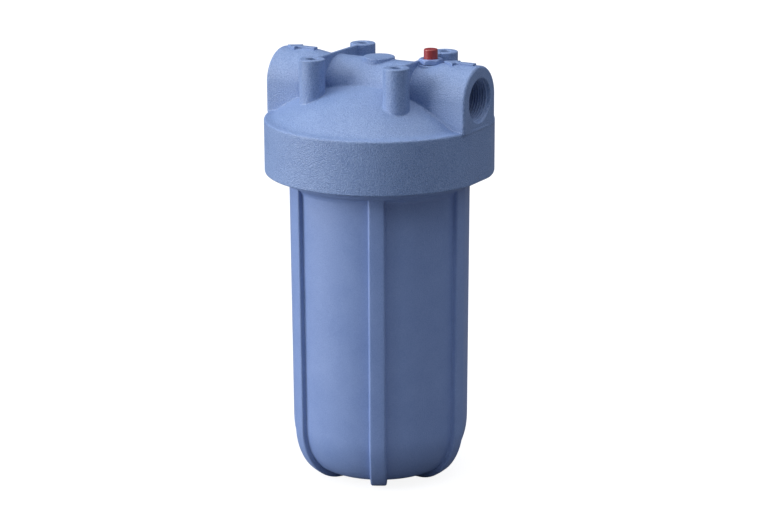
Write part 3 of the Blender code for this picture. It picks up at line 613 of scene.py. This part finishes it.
def make_arrow(name, side):
    """A raised arrow on the tube's crest that points along the flow."""
    centre, half, shaft = side * ARROW_X, ARROW_HALF_WIDTH, ARROW_SHAFT_HALF_WIDTH
    tip, tail = centre - ARROW_LENGTH / 2, centre + ARROW_LENGTH / 2
    neck = tip + ARROW_HEAD
    outline = [(tip, 0), (neck, -half), (neck, -shaft), (tail, -shaft)]
    outline += [(tail, shaft), (neck, shaft), (neck, half)]
    count = len(outline)
    low, high = TUBE_Z + BLOCK_HALF_WIDTH - ARROW_SUNK, CAP_HIGH[2] + ARROW_RISE
    points = [(u, v, low) for u, v in outline] + [(u, v, high) for u, v in outline]
    faces = [list(range(count))[::-1], list(range(count, 2 * count))]
    faces += [[i, (i + 1) % count, (i + 1) % count + count, i + count] for i in range(count)]
    arrow = make_piece(name, points, faces, CAP_PLASTIC, "cap", "cap_blue")
    edge = arrow.modifiers.new("edge", "BEVEL")
    edge.width = ARROW_EDGE * MM
    edge.segments = 3
    even_normals(arrow)


# ---------------------------------------------------------------- sump
def corner_arc(centre_r, half_r, half_z, steps):
    """The bowl's rounded lower corner, from its floor to its wall."""
    angle = np.linspace(-math.pi / 2, 0, steps + 1)
    return np.stack([centre_r + half_r * np.cos(angle), BODY_CORNER_Z + half_z * np.sin(angle)], 1)


def sump_outside():
    """Matching points of the bare bowl and of a rib's crest, from the middle outwards."""
    rib_low, rib_high = BODY_LOW_RADIUS + RIB_HEIGHT, BODY_HIGH_RADIUS + RIB_HEIGHT
    shared = [(0, 33), (8.2, 33), (8.8, 32.8), (9, 32.2), (9, 6), (9.3, 5.1), (10.2, FLOOR_Z)]
    shared += [(18, FLOOR_Z), (26, FLOOR_Z)]
    body, rib = list(shared), list(shared)
    foot = [(28.8, 4.7), (29.4, 4.5), (29.8, 3.9), (30.0, 3.0), (30.1, 1.2), (30.5, 0.4)]
    foot += [(31.3, 0.0), (36, 0.0), (40.5, 0.0)]
    for r, z in foot:
        body.append((r, FLOOR_Z))
        rib.append((r, z))
    corner_width = BODY_LOW_RADIUS - BODY_FLOOR_RADIUS
    body += corner_arc(BODY_FLOOR_RADIUS, corner_width, BODY_CORNER_Z - FLOOR_Z, 16).tolist()
    rib += corner_arc(FOOT_RADIUS, rib_low - FOOT_RADIUS, BODY_CORNER_Z, 16).tolist()
    for t in np.linspace(0, 1, 11)[1:]:
        z = BODY_CORNER_Z + t * (BODY_TOP_Z - BODY_CORNER_Z)
        body.append((BODY_LOW_RADIUS + t * (BODY_HIGH_RADIUS - BODY_LOW_RADIUS), z))
        rib.append((rib_low + t * (rib_high - rib_low), z))
    flare_z = 0.5 * (BODY_TOP_Z + FLARE_TOP_Z)
    for t in np.linspace(0, math.pi / 2, 7)[1:]:
        z = flare_z + math.sin(t) * (FLARE_TOP_Z - flare_z)
        body.append((rib_high - math.cos(t) * (rib_high - BODY_HIGH_RADIUS), z))
        rib.append((rib_high, z))
    collar = [(76.8, 247.2), (78.1, 249.0), (COLLAR_FOOT_RADIUS, 250.4), (COLLAR_FOOT_RADIUS, 254.2)]
    collar += [(79.4, 255.6), (SUMP_THREAD_ROOT, COLLAR_BOTTOM_Z), (SUMP_THREAD_ROOT, RIM_Z - 0.8)]
    collar += [(SUMP_THREAD_ROOT - 0.25, RIM_Z - 0.25), (SUMP_THREAD_ROOT - 0.8, RIM_Z)]
    return body + collar, rib + collar


def sump_inside():
    """The inside, from the rim in over the seal's groove and down to the centring post."""
    groove_in, groove_out, groove_z = 73.9, 80.1, RIM_Z - 4.2
    inner_low = BODY_LOW_RADIUS - SUMP_WALL
    floor = FLOOR_Z + SUMP_WALL
    points = [(groove_out + 0.3, RIM_Z, 0), (groove_out, RIM_Z, 0.2), (groove_out, groove_z, 0.5)]
    points += [(groove_in, groove_z, 0.5), (groove_in, RIM_Z, 0.4), (COLLAR_BORE_RADIUS, RIM_Z, 0.8)]
    points += [(COLLAR_BORE_RADIUS, 249.0, 1.5), (BODY_HIGH_RADIUS - SUMP_WALL, BODY_TOP_Z, 3.0)]
    inside = rounded([(90, RIM_Z, 0)] + points + [(inner_low, BODY_CORNER_Z, 0)])[1:]
    inside += corner_arc(40.0, inner_low - 40.0, BODY_CORNER_Z - floor, 10)[::-1][1:].tolist()
    seat = BOTTOM_GASKET_LOW[2] - 0.3
    middle = [(40, floor, 0), (21.5, floor, 1.5), (21.5, seat - 4, 0.8), (18.5, seat, 0.4), (17.5, seat, 0.4)]
    middle += [(16.5, seat - 3, 0.5), (13.6, seat - 3, 0.5), (13.6, 36, 1.5), (12.1, 40, 1.0), (0, 40, 0)]
    return inside + rounded(middle)[1:]


def make_sump():
    """The bowl with six ribs and feet, its collar, its thread and its inside."""
    body, rib = (np.array(p) for p in sump_outside())
    inside = np.array(sump_inside())
    body = np.concatenate([body, inside])
    rib = np.concatenate([rib, inside])
    # half of a rib's section: distances from its middle, and the share of its height there
    edge = RIB_HALF_WIDTH
    across = [0.0, 2.5, edge - 1.6, edge - 1.0, edge - 0.5, edge - 0.13, edge]
    across += [edge + 0.12, edge + 0.3, edge + 0.65, edge + 1.2]
    share = [1.0, 1.0, 1.0, 0.97, 0.90, 0.78, 0.62, 0.14, 0.05, 0.015, 0.0]
    across = np.array([-a for a in across[:0:-1]] + across)
    share = np.array(share[:0:-1] + share)
    between = 12
    wide = np.maximum((body[:, 0] + rib[:, 0]) / 2, RIB_ROOT_RADIUS)
    spread_out = np.arcsin(across[None, :] / wide[:, None])
    edge_angle = spread_out[:, -1:]
    gap = 2 * math.pi / RIB_COUNT - 2 * edge_angle
    plain = edge_angle + gap * np.arange(1, between)[None, :] / between
    one = np.concatenate([spread_out, plain], 1)
    weight = np.concatenate([share, np.zeros(between - 1)])
    angle = np.concatenate([one + RIB_PHASE + 2 * math.pi * k / RIB_COUNT for k in range(RIB_COUNT)], 1)
    weight = np.tile(weight, RIB_COUNT)[None, :]
    r = body[:, :1] * (1 - weight) + rib[:, :1] * weight
    z = body[:, 1:] * (1 - weight) + rib[:, 1:] * weight
    points = np.stack([r * np.cos(angle), r * np.sin(angle), z], 2).reshape(-1, 3)
    faces = close_rows(len(body), angle.shape[1], closed=False)
    sump = make_piece("sump_bowl", points, faces, SUMP_PLASTIC, "sump", "sump_blue", ("sump",))
    even_normals(merge_close(sump))
    ridge = thread_ridge(SUMP_THREAD_ROOT, SUMP_THREAD_CREST, THREAD_START_Z)
    merge_close(make_piece("sump_thread", *ridge, SUMP_PLASTIC, "sump", "sump_blue"))


def make_seal():
    """The sump's O-ring, pressed a little oval."""
    middle = (SEAL_LOW[2] + SEAL_HIGH[2]) / 2
    half_height = (SEAL_HIGH[2] - SEAL_LOW[2]) / 2
    half_width = 2.7
    angle = np.linspace(0, 2 * math.pi, 25)[:-1]
    centre = SEAL_HIGH[0] - half_width
    outline = np.stack([centre + half_width * np.cos(angle), middle + half_height * np.sin(angle)], 1)
    points, faces = turned(outline, 160)
    make_piece("sump_seal_ring", points, faces, RUBBER, "seal", "seal_black", ("sump_o_ring",))


# ---------------------------------------------------------------- relief valve
def make_bushing():
    """The hexagonal bushing, chamfered like a nut, with its sleeve and its bore."""
    flat = (BUSHING_HIGH[1] - BUSHING_LOW[1]) / 2
    bottom, top = 343.5, BUSHING_HIGH[2]
    sleeve_out, sleeve_in, lip_radius, lip_z = 7.6, 6.6, 5.8, 342.7
    corner = flat / math.cos(math.pi / 6)
    segments = 96
    angle = 2 * math.pi * (np.arange(segments) + 0.5) / segments
    hexagon = flat / np.cos((angle + math.pi / 6) % (math.pi / 3) - math.pi / 6)
    hexagon = np.minimum(hexagon, corner - 0.35)
    sleeve = [(sleeve_out, bottom), (sleeve_out, BUSHING_LOW[2] + 0.3), (sleeve_out - 0.3, BUSHING_LOW[2])]
    sleeve += [(sleeve_in, BUSHING_LOW[2])]
    bore = [(sleeve_in, lip_z), (lip_radius, lip_z), (lip_radius, top - 0.5)]
    bore += [(lip_radius + 0.15, top - 0.15), (lip_radius + 0.5, top)]
    nut = [(flat - 0.9, top), (flat - 0.35, top - 0.06), (flat + 0.1, top - 0.3), (corner - 0.6, top - 0.85)]
    nut += [(corner, top - 1.2), (corner, bottom + 0.4), (corner - 0.4, bottom)]
    rows = sleeve + bore + nut
    radius = np.minimum(np.array(rows)[:, :1], hexagon[None, :])
    z = np.repeat(np.array(rows)[:, 1:], segments, 1)
    points = np.stack([VALVE_X + radius * np.cos(angle), radius * np.sin(angle), z], 2).reshape(-1, 3)
    faces = close_rows(len(rows), segments)
    bushing = make_piece("valve_bushing", points, faces, SUMP_PLASTIC, "cap", "cap_blue", ("relief_bushing",))
    even_normals(merge_close(bushing))


def make_button():
    """The red button, a cup with a flange below the bushing's lip."""
    low, top = BUTTON_LOW[2], BUTTON_HIGH[2]
    cup, outside, flange, socket = 4.5, 5.5, 6.3, 1.8
    flange_z, roof_z, socket_z = 342.4, 350.0, 352.9
    corners = [(socket, roof_z, 0), (cup, roof_z, 0.4), (cup, low, 0.1), (flange, low, 0.2)]
    corners += [(flange, flange_z, 0.2), (outside, flange_z, 0.2), (outside, top, 0.9), (0.0, top, 0)]
    corners += [(0.0, socket_z, 0), (socket, socket_z, 0.1)]
    points, faces = turned(rounded(corners, 6), 64, (VALVE_X, 0.0))
    button = make_piece("valve_button", points, faces, RED_PLASTIC, "relief_valve", "button_red",
                        ("relief_button",))
    even_normals(merge_close(button))


def make_stem():
    """The brass stem, with its head below the washer."""
    low, top = STEM_LOW[2], STEM_HIGH[2]
    head, head_height, shank = 3.5, 1.5, 1.5
    corners = [(0, low, 0), (head, low, 0.3), (head, low + head_height, 0.3)]
    corners += [(shank, low + head_height, 0.1), (shank, top, 0.3), (0, top, 0)]
    points, faces = turned(rounded(corners), 48, (VALVE_X, 0.0))
    stem = make_piece("valve_stem", points, faces, STEM_BRASS, "relief_valve", "stem_brass", ("relief_stem",))
    even_normals(merge_close(stem))


def make_washer():
    """The rubber washer on the stem's head."""
    low, top = WASHER_LOW[2], WASHER_HIGH[2]
    hole, edge = 1.8, 3.7
    corners = [(hole, low, 0.1), (edge, low, 0.3), (edge, top, 0.3), (hole, top, 0.1)]
    points, faces = turned(rounded(corners), 48, (VALVE_X, 0.0))
    washer = make_piece("valve_washer", points, faces, RUBBER, "relief_valve", "seal_black", ("relief_seal",))
    even_normals(washer)


def make_spring():
    """The coil spring under the button, its end turns wound close."""
    wire, turns, radius = 0.4, 7.0, 3.3
    low, high = SPRING_LOW[2] + wire, SPRING_HIGH[2] - wire
    t = np.linspace(0, 1, 281)
    angle = 2 * math.pi * turns * t
    rise = np.clip((t * turns - 0.75) / (turns - 1.5), 0, 1)
    close = 2 * wire * 0.9
    z = low + close * np.minimum(t * turns, 1) * 0.9
    z = z + (high - low - 2 * close * 0.9) * rise + close * 0.9 * np.clip(t * turns - turns + 1, 0, 1)
    out = np.stack([np.cos(angle), np.sin(angle), np.zeros_like(angle)], 1)
    path = np.stack([VALVE_X + radius * out[:, 0], radius * out[:, 1], z], 1)
    up = np.tile([0.0, 0.0, 1.0], (len(t), 1))
    ring = 2 * math.pi * np.arange(10) / 10
    section = np.stack([wire * np.cos(ring), wire * np.sin(ring)], 1)
    points, faces = swept(path, section, out, up)
    spring = make_piece("valve_spring", points, faces, SPRING_STEEL, "cap", "spring_steel",
                        ("relief_spring",))
    merge_close(spring)
    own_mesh(spring)


# ---------------------------------------------------------------- cartridge
def make_end_cap(name, node, low, high, face_z, inward):
    """An end cap: a rim round the pleats, a gasket recess and shallow moulded rings."""
    radius = high[0]
    inner = face_z + inward * 6.0
    rim = high[2] if inward > 0 else low[2]
    recess = face_z + inward * 1.7
    corners = [(END_CAP_HOLE_RADIUS, recess, 0.2), (GASKET_RECESS_RADIUS, recess, 0.2)]
    corners += [(GASKET_RECESS_RADIUS, face_z, 0.4)]
    for ring in END_CAP_RINGS:
        corners += [(ring, face_z, 0.3), (ring + 0.5, face_z + inward * 0.5, 0.3)]
        corners += [(ring + 1.5, face_z + inward * 0.5, 0.3), (ring + 2.0, face_z, 0.3)]
    corners += [(radius, face_z, 1.2), (radius, rim, 0.7), (radius - 2.0, rim, 0.7)]
    corners += [(radius - 2.0, inner, 0.4), (END_CAP_HOLE_RADIUS, inner, 0.3)]
    points, faces = turned(rounded(corners), 120)
    piece = make_piece(name, points, faces, END_PLASTIC, "sump", "end_cap_white", (node,))
    even_normals(merge_close(piece))


def make_gasket(name, node, low, high):
    """A flat gasket with soft edges."""
    hole, edge = GASKET_HOLE_RADIUS, high[0]
    corners = [(hole, low[2], 0.5), (edge, low[2], 0.5), (edge, high[2], 0.5), (hole, high[2], 0.5)]
    points, faces = turned(rounded(corners), 96)
    even_normals(make_piece(name, points, faces, GASKET_RUBBER, "sump", "gasket_grey", (node,)))


def make_core():
    """The core tube, a lattice of rings and bars round rows of windows."""
    bars, window, ring = 24, 7.0, 3.0
    bar_share = 0.34             # of the way from one bar to the next
    wall = 1.8
    radius = CORE_HIGH[0] - wall / 2
    low, high = CORE_LOW[2], CORE_HIGH[2]
    levels = round((high - low - ring) / (window + ring))
    pitch = (high - low - ring) / levels
    ring_starts = [low + i * pitch for i in range(levels + 1)]
    heights = sorted(ring_starts + [low + i * pitch + ring for i in range(levels + 1)])
    angles = [2 * math.pi * (i + s) / bars for i in range(bars) for s in (0.0, bar_share)]
    columns = len(angles)
    points = [(radius * math.cos(a), radius * math.sin(a), z) for z in heights for a in angles]
    faces = close_rows(len(heights), columns, closed=False).reshape(-1, columns, 4)
    kept = [faces[i, j] for i in range(len(heights) - 1) for j in range(columns) if i % 2 == 0 or j % 2 == 0]
    core = make_piece("core_tube", points, kept, CORE_PLASTIC, "sump", "core_white", ("cartridge_core",))
    smooth = core.modifiers.new("round", "SUBSURF")
    smooth.subdivision_type = "SIMPLE"
    smooth.levels = smooth.render_levels = 1
    wall_modifier = core.modifiers.new("wall", "SOLIDIFY")
    wall_modifier.thickness = wall * MM
    wall_modifier.offset = 0
    edge = core.modifiers.new("edge", "BEVEL")
    edge.width = 0.3 * MM
    edge.segments = 2
    even_normals(core)


def make_media():
    """The filter sheet, folded into deep round-tipped pleats."""
    pleats = 72
    outer, inner = MEDIA_HIGH[0] - 0.6, 20.5
    low, high = MEDIA_LOW[2] + 0.2, MEDIA_HIGH[2] - 0.2
    fold = math.pi / pleats
    levels = np.linspace(low, high, 19)
    # one pleat: how far out each point is, and how many half pleats round from the outer tip
    fold_shape = [(outer - 0.7, -0.33), (outer - 0.15, -0.17), (outer, 0), (outer - 0.15, 0.17)]
    fold_shape += [(outer - 0.7, 0.33), (inner + 0.6, 0.72), (inner + 0.1, 0.87), (inner, 1.0)]
    fold_shape += [(inner + 0.1, 1.13), (inner + 0.6, 1.28)]
    rows = []
    for z in levels:
        row = []
        for i in range(pleats):
            sway = 0.05 * fold * math.sin(z / 17 + 2.4 * i)
            for reach, turn in fold_shape:
                a = fold * (2 * i + turn) + sway * (reach - inner) / (outer - inner)
                row.append((reach * math.cos(a), reach * math.sin(a), z))
        rows.append(row)
    points = np.array(rows).reshape(-1, 3)
    faces = close_rows(len(levels), len(fold_shape) * pleats, closed=False)
    media = make_piece("pleated_media", points, faces, FABRIC, "sump", "media_white", ("cartridge_media",))
    sheet = media.modifiers.new("thickness", "SOLIDIFY")
    sheet.thickness = 0.45 * MM
    sheet.offset = 0


# ---------------------------------------------------------------- floor, light and camera
def mixed_by_camera(tree, seen, unseen):
    """One number for rays from the camera and another for all other light."""
    path = add_node(tree, "ShaderNodeLightPath")
    inputs = {"Value": path.outputs["Is Camera Ray"], "To Min": unseen, "To Max": seen}
    return add_node(tree, "ShaderNodeMapRange", inputs).outputs["Result"]


def make_floor():
    """A wide floor under the feet: white to the camera, a mid grey to all other light."""
    mesh = bpy.data.meshes.new("studio_floor")
    reach, segments = 14.0, 64
    ring = [(reach * math.cos(2 * math.pi * i / segments), reach * math.sin(2 * math.pi * i / segments), 0.0)
            for i in range(segments)]
    mesh.from_pydata(ring, [], [list(range(segments))])
    material = bpy.data.materials.new("studio_floor")
    material.use_nodes = True
    shader = material.node_tree.nodes["Principled BSDF"]
    shader.inputs["Base Color"].default_value = (0.20, 0.21, 0.23, 1.0)
    shader.inputs["Roughness"].default_value = 0.9
    shader.inputs["Specular IOR Level"].default_value = 0.1
    shader.inputs["Emission Color"].default_value = (1.0, 1.0, 1.0, 1.0)
    glow = mixed_by_camera(material.node_tree, 0.90, 0.0)
    material.node_tree.links.new(glow, shader.inputs["Emission Strength"])
    mesh.materials.append(material)
    floor = bpy.data.objects.new("studio_floor", mesh)
    floor.location.z = -0.02 * MM
    bpy.context.scene.collection.objects.link(floor)


def make_sun(name, screen_turn, elevation, strength, colour, spread_deg):
    """A soft distant lamp; screen_turn is its bearing from the camera's side, left negative."""
    lamp = bpy.data.lights.new(name, "SUN")
    lamp.energy = strength
    lamp.color = colour
    lamp.angle = math.radians(spread_deg)
    obj = bpy.data.objects.new(name, lamp)
    bearing = math.radians(CAMERA_AZIMUTH + screen_turn)
    rise = math.radians(elevation)
    level = math.cos(rise)
    towards = Vector((math.sin(bearing) * level, -math.cos(bearing) * level, math.sin(rise)))
    obj.rotation_mode = "QUATERNION"
    obj.rotation_quaternion = towards.to_track_quat("Z", "Y")
    bpy.context.scene.collection.objects.link(obj)


def make_world():
    """A dim, slightly cool surround that looks white itself."""
    world = bpy.data.worlds.new("studio")
    world.use_nodes = True
    tree = world.node_tree
    background = tree.nodes["Background"]
    path = add_node(tree, "ShaderNodeLightPath")
    colour = add_node(tree, "ShaderNodeMix", {"Factor": path.outputs["Is Camera Ray"]}, data_type="RGBA")
    colour.inputs[6].default_value = (0.058, 0.064, 0.082, 1.0)
    colour.inputs[7].default_value = (1.0, 1.0, 1.0, 1.0)
    tree.links.new(colour.outputs[2], background.inputs["Color"])
    bpy.context.scene.world = world


# angles in degrees, lens in millimetres, distances in metres
CAMERA_AZIMUTH = 29.954
CAMERA_ELEVATION = 15.7
CAMERA_ROLL = -0.244
CAMERA_DISTANCE = 2.0
CAMERA_AIM_Z = 0.17229
CAMERA_LENS = 116.9


def make_camera():
    """The camera, which looks at the object's upright axis."""
    azimuth, elevation, roll = (math.radians(a) for a in (CAMERA_AZIMUTH, CAMERA_ELEVATION, CAMERA_ROLL))
    level = math.cos(elevation)
    back = Vector((math.sin(azimuth) * level, -math.cos(azimuth) * level, math.sin(elevation)))
    right = Vector((math.cos(azimuth), math.sin(azimuth), 0.0))
    up = back.cross(right)
    tilted_right = math.cos(roll) * right + math.sin(roll) * up
    tilted_up = -math.sin(roll) * right + math.cos(roll) * up
    lens = bpy.data.cameras.new("camera")
    lens.lens = CAMERA_LENS
    lens.clip_start = 0.05
    camera = bpy.data.objects.new("camera", lens)
    turn = Matrix((tilted_right, tilted_up, back)).transposed().to_4x4()
    camera.matrix_world = Matrix.Translation(Vector((0.0, 0.0, CAMERA_AIM_Z)) + CAMERA_DISTANCE * back) @ turn
    bpy.context.scene.collection.objects.link(camera)
    bpy.context.scene.camera = camera


make_cap()
make_sump()
make_seal()
make_bushing()
make_button()
make_stem()
make_washer()
make_spring()
make_end_cap("upper_end_cap", "cartridge_top_cap", TOP_CAP_LOW, TOP_CAP_HIGH, TOP_CAP_HIGH[2], -1)
make_end_cap("lower_end_cap", "cartridge_bottom_cap", BOTTOM_CAP_LOW, BOTTOM_CAP_HIGH, BOTTOM_CAP_LOW[2], 1)
make_gasket("upper_gasket", "cartridge_top_gasket", TOP_GASKET_LOW, TOP_GASKET_HIGH)
make_gasket("lower_gasket", "cartridge_bottom_gasket", BOTTOM_GASKET_LOW, BOTTOM_GASKET_HIGH)
make_core()
make_media()
make_floor()
make_world()
make_sun("key", -80, 12, 3.05, (1.0, 0.98, 0.96), 40)
make_sun("left_overhead", -80, 68, 1.75, (1.0, 0.98, 0.96), 90)
make_sun("right_overhead", 75, 66, 1.2, (0.97, 0.98, 1.0), 90)
make_camera()
bpy.context.scene.view_settings.view_transform = "Standard"
